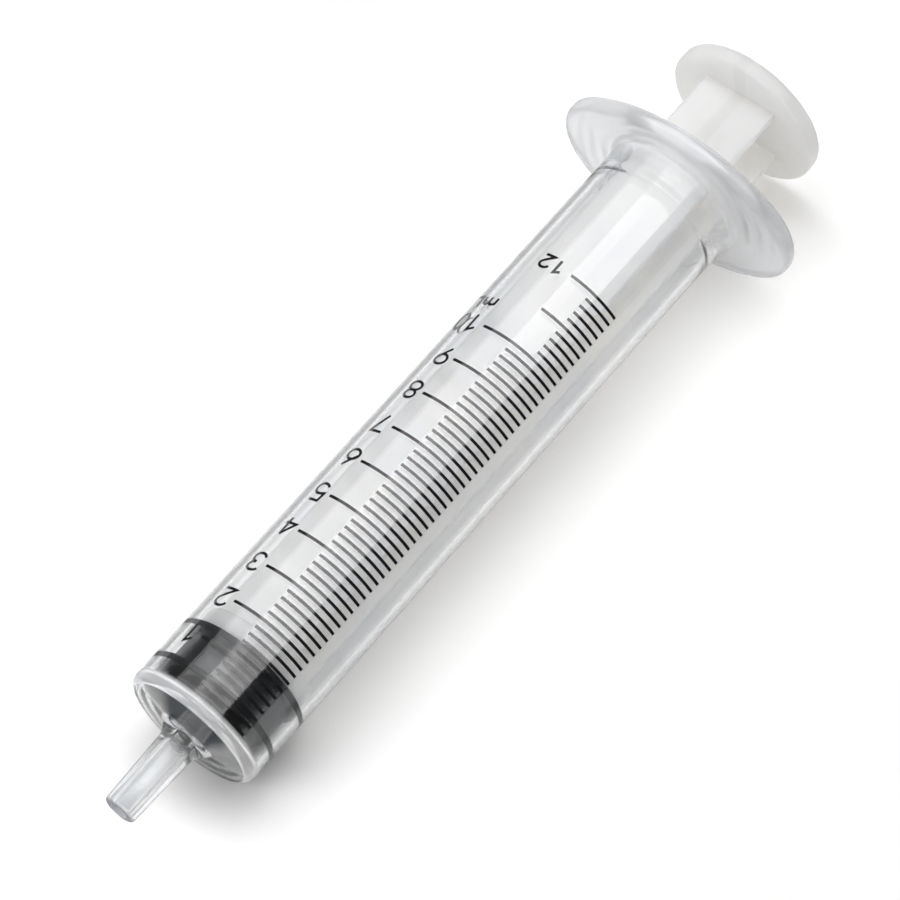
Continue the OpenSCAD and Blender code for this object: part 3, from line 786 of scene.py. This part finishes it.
millilitre_ink, division_ink = make_lines()
made = [
    (make_barrel(), "barrel", "barrel", "clear_polypropylene"),
    (make_gasket(), "gasket", "gasket", "black_rubber"),
    (make_rod(), "plunger_rod", "plunger_rod", "milky_polypropylene"),
    (millilitre_ink, "barrel", "millilitre_lines", "scale_ink"),
    (division_ink, "barrel", "division_lines", "scale_ink"),
    (make_numerals(), "barrel", "numerals", "scale_ink"),
    (make_unit_mark(), "barrel", "unit_mark", "scale_ink"),
]
for piece, body, cad_node, finish in made:
    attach(piece, body)
    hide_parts(cad_node)


# Studio

# The syringe touches the table at its shoulder and at the middle of its flange's rim.
SHOULDER_FOOT_X = 12.8
FLANGE_FOOT_X = 99.35
TABLE_GAP = 0.03
# The table reaches so many metres each way.
TABLE_HALF = 3.0
# A painted shadow, seen only in reflections: a dark patch on the table beside the nozzle's foot.
PAINTED_SHADOW_SPOT_PLACE = (-1, 4, -9)
PAINTED_SHADOW_SPOT_R = 6.2
PAINTED_SHADOW_SPOT_FADE_R = 8.4
SHADOW_R = 32
SHADOW_FADE_R = 62
SOFTBOX_HEIGHT = 600
SOFTBOX_X = 275
SOFTBOX_LEN = 270


def table_material():
    """A white painted table, plain white away from the syringe. Seen through the clear plastic it
    is darker at the slants where the tube's edges bend the view to it, and in reflections only it
    has a painted shadow: a dark patch beside the nozzle's foot, as the front of the real barrel
    mirrors one."""
    material, tree = new_material("white table")
    paint = node(tree, "ShaderNodeValToRGB", Fac=noise(tree, 60, 2),
                 stops=[(0.3, "#fdfdfd"), (0.7, "#ffffff")])
    path = node(tree, "ShaderNodeLightPath")
    place = node(tree, "ShaderNodeTexCoord")
    facing = node(tree, "ShaderNodeLayerWeight", Blend=0.5)
    slanted = node(tree, "ShaderNodeValToRGB", Fac=facing.outputs["Facing"], stops=[
        (0.0, 0.95), (0.22, 0.95), (0.34, 0.42), (0.45, 0.28), (0.54, 0.5), (0.62, 0.8),
        (1.0, 0.88)])
    # Painted shadow in reflections only: glossy rays see the table dark blue-grey round a spot
    # beside the nozzle's foot.
    painted_shadow_spot = node(tree, "ShaderNodeVectorMath", {"operation": "DISTANCE"},
                i0=place.outputs["Object"], i1=[v * MM for v in PAINTED_SHADOW_SPOT_PLACE])
    beyond = node(tree, "ShaderNodeMapRange", Value=painted_shadow_spot.outputs["Value"],
                  From_Min=PAINTED_SHADOW_SPOT_R * MM, From_Max=PAINTED_SHADOW_SPOT_FADE_R * MM)
    mirrored = node(tree, "ShaderNodeMix", TURN, i0=beyond.outputs["Result"],
                    i6=linear("#535b68"), i7=slanted.outputs["Color"])
    seen = node(tree, "ShaderNodeMix", TURN, i0=path.outputs["Is Transmission Ray"],
                i6=paint.outputs["Color"], i7=slanted.outputs["Color"])
    bounced = node(tree, "ShaderNodeMix", TURN, i0=path.outputs["Is Glossy Ray"],
                   i6=seen.outputs[2], i7=mirrored.outputs[2])
    painted = node(tree, "ShaderNodeBsdfDiffuse", Color=bounced.outputs[2])
    lift = node(tree, "ShaderNodeMath", {"operation": "MULTIPLY"}, i0=path.outputs["Is Camera Ray"],
                i1=0.02)
    glow = node(tree, "ShaderNodeEmission", Color=WHITE, Strength=lift.outputs["Value"])
    near = node(tree, "ShaderNodeAddShader", i0=painted.outputs["BSDF"],
                i1=glow.outputs["Emission"])

    # Plain white outside an oval round the syringe, which holds its shadow
    oval = node(tree, "ShaderNodeMapping", Vector=place.outputs["Object"],
                Location=(-25 * MM, 0, 0), Scale=(0.45, 1, 0))
    away = node(tree, "ShaderNodeVectorMath", {"operation": "LENGTH"}, i0=oval.outputs["Vector"])
    far = node(tree, "ShaderNodeMapRange", {"interpolation_type": "SMOOTHSTEP"},
               Value=away.outputs["Value"], From_Min=SHADOW_R * MM,
               From_Max=SHADOW_FADE_R * MM)
    plain_ray = node(tree, "ShaderNodeMath", {"operation": "MAXIMUM"},
                     i0=path.outputs["Is Camera Ray"], i1=path.outputs["Is Diffuse Ray"])
    share = node(tree, "ShaderNodeMath", {"operation": "MULTIPLY"}, i0=far.outputs["Result"],
                 i1=plain_ray.outputs["Value"])
    plain = node(tree, "ShaderNodeEmission", Color=WHITE, Strength=1.0)
    mix = node(tree, "ShaderNodeMixShader", Fac=share.outputs["Value"],
               i1=near.outputs["Shader"], i2=plain.outputs["Emission"])
    node(tree, "ShaderNodeOutputMaterial", Surface=mix.outputs["Shader"])
    return material


def make_floor():
    """The table top, which the syringe touches at its shoulder and at its flange."""
    front = Vector((SHOULDER_FOOT_X, 0, -BARREL_R - TABLE_GAP)) * MM
    rear = Vector((FLANGE_FOOT_X, 0, -FLANGE_HALF_W - TABLE_GAP)) * MM
    slope = unit(rear - front)
    corners = [front + slope * (TABLE_HALF * a) + Vector((0, TABLE_HALF * b, 0))
               for a, b in ((-1, -1), (1, -1), (1, 1), (-1, 1))]
    mesh = bpy.data.meshes.new("table_top")
    mesh.from_pydata([tuple(c) for c in corners], [], [(0, 1, 2, 3)])
    mesh.materials.append(table_material())
    floor = bpy.data.objects.new("table_top", mesh)
    bpy.context.scene.collection.objects.link(floor)


def make_world():
    """A white backdrop, plain to the eye and pale at table height through clear plastic. Above
    the table, and in reflections, the room round the soft lamps is dim."""
    world = bpy.data.worlds.new("studio")
    bpy.context.scene.world = world
    world.use_nodes = True
    tree = world.node_tree
    tree.nodes.clear()
    path = node(tree, "ShaderNodeLightPath")
    place = node(tree, "ShaderNodeTexCoord")
    axes = node(tree, "ShaderNodeSeparateXYZ", Vector=place.outputs["Generated"])
    # What lights matt surfaces: dimmer towards the zenith
    lit = node(tree, "ShaderNodeValToRGB", Fac=axes.outputs["Z"],
               stops=[(0.0, 0.3), (0.3, 0.2), (0.6, 0.07), (1.0, 0.05)])
    # What glossy surfaces mirror: lighter towards +Y and at the two ends of the barrel's line
    sides = node(tree, "ShaderNodeMapRange", Value=axes.outputs["Y"], From_Min=-1, To_Min=0.02,
                 To_Max=0.12)
    behind = node(tree, "ShaderNodeMapRange", Value=axes.outputs["X"], From_Min=0.4, To_Min=0,
                  To_Max=0.5)
    ahead = node(tree, "ShaderNodeMapRange", Value=axes.outputs["X"], From_Min=-0.5, From_Max=-0.9,
                 To_Min=0, To_Max=0.5)
    ends = node(tree, "ShaderNodeMath", {"operation": "ADD"}, i0=behind.outputs["Result"],
                i1=ahead.outputs["Result"])
    mirrored = node(tree, "ShaderNodeMath", {"operation": "ADD"},
                    i0=sides.outputs["Result"], i1=ends.outputs["Value"])
    room = node(tree, "ShaderNodeMix", TURN, i0=path.outputs["Is Glossy Ray"],
                i6=lit.outputs["Color"], i7=mirrored.outputs["Value"])
    # What shows through clear plastic: white at table height only
    level = node(tree, "ShaderNodeValToRGB", Fac=axes.outputs["Z"],
                 stops=[(0.0, 1.0), (0.02, 1.0), (0.06, 0.08), (1.0, 0.03)])
    bent = node(tree, "ShaderNodeMix", TURN, i0=path.outputs["Is Transmission Ray"],
                i6=room.outputs[2], i7=level.outputs["Color"])
    seen = node(tree, "ShaderNodeMix", TURN, i0=path.outputs["Is Camera Ray"],
                i6=bent.outputs[2], i7=WHITE)
    backdrop = node(tree, "ShaderNodeBackground", Color=seen.outputs[2], Strength=1.0)
    node(tree, "ShaderNodeOutputWorld", Surface=backdrop.outputs["Background"])


def add_softbox(name, place, width, length, radiance, mirrored=True, aim=None):
    """A soft lamp at a place in millimetres. It faces the aim, or the barrel's line below it. One
    that isn't mirrored only lights the scene, as a room's far walls do."""
    lamp = bpy.data.lights.new(name, "AREA")
    lamp.shape = "RECTANGLE"
    lamp.size, lamp.size_y = length * MM, width * MM
    lamp.energy = radiance * math.pi * lamp.size * lamp.size_y
    obj = bpy.data.objects.new(name, lamp)
    obj.location = Vector(place) * MM
    target = Vector(aim or (place[0], 0, 0))
    away = (Vector(place) - target).normalized()
    side = Vector((0, 1, 0)).cross(away).normalized()
    obj.rotation_euler = Matrix((side, away.cross(side), away)).transposed().to_euler()
    obj.visible_camera = False
    obj.visible_glossy = obj.visible_transmission = mirrored
    bpy.context.scene.collection.objects.link(obj)


def overhead(tilt, along_x):
    """A place over the barrel's line, turned by tilt degrees from overhead towards +Y."""
    a = math.radians(tilt)
    return along_x, SOFTBOX_HEIGHT * math.sin(a), SOFTBOX_HEIGHT * math.cos(a)


def make_camera():
    """The photograph's camera: a long lens from the nozzle's side, well above the table. Its place
    and turn were fitted to the photograph's scale lines, tube edges and flange rims."""
    data = bpy.data.cameras.new("camera")
    data.sensor_width = 36
    data.lens = 158.729
    data.clip_start, data.clip_end = 0.01, 20
    place = Vector((-96.9935, -171.3148, 383.3344)) * MM
    right = Vector((0.62745469, -0.77301566, -0.09352757))
    up = Vector((0.69912958, 0.5064126, 0.50474163))
    forward = Vector((0.34280964, 0.38209039, -0.85818907))
    camera = bpy.data.objects.new("camera", data)
    turn = Matrix((right, up, -forward)).transposed().to_4x4()
    camera.matrix_world = Matrix.Translation(place) @ turn
    bpy.context.scene.collection.objects.link(camera)
    bpy.context.scene.camera = camera


make_floor()
make_world()
# Three softboxes draw the bands of light along the tube, and three fills even out its surroundings.
add_softbox("low_softbox", overhead(-16, SOFTBOX_X), 611, SOFTBOX_LEN, 3.0)
add_softbox("centre_softbox", overhead(2, SOFTBOX_X), 240, SOFTBOX_LEN, 0.9)
add_softbox("side_softbox", overhead(28.5, SOFTBOX_X), 355, SOFTBOX_LEN, 1.7)
add_softbox("top_fill", overhead(20, 110), 700, 400, 2.4, mirrored=False)
add_softbox("front_fill", (-390, 250, 366), 400, 400, 3.7, mirrored=False, aim=(55, 0, 0))
add_softbox("side_fill", (-200, -480, 95), 500, 120, 2.5, mirrored=False, aim=(60, 0, 0))
make_camera()
bpy.context.scene.view_settings.view_transform = "Standard"
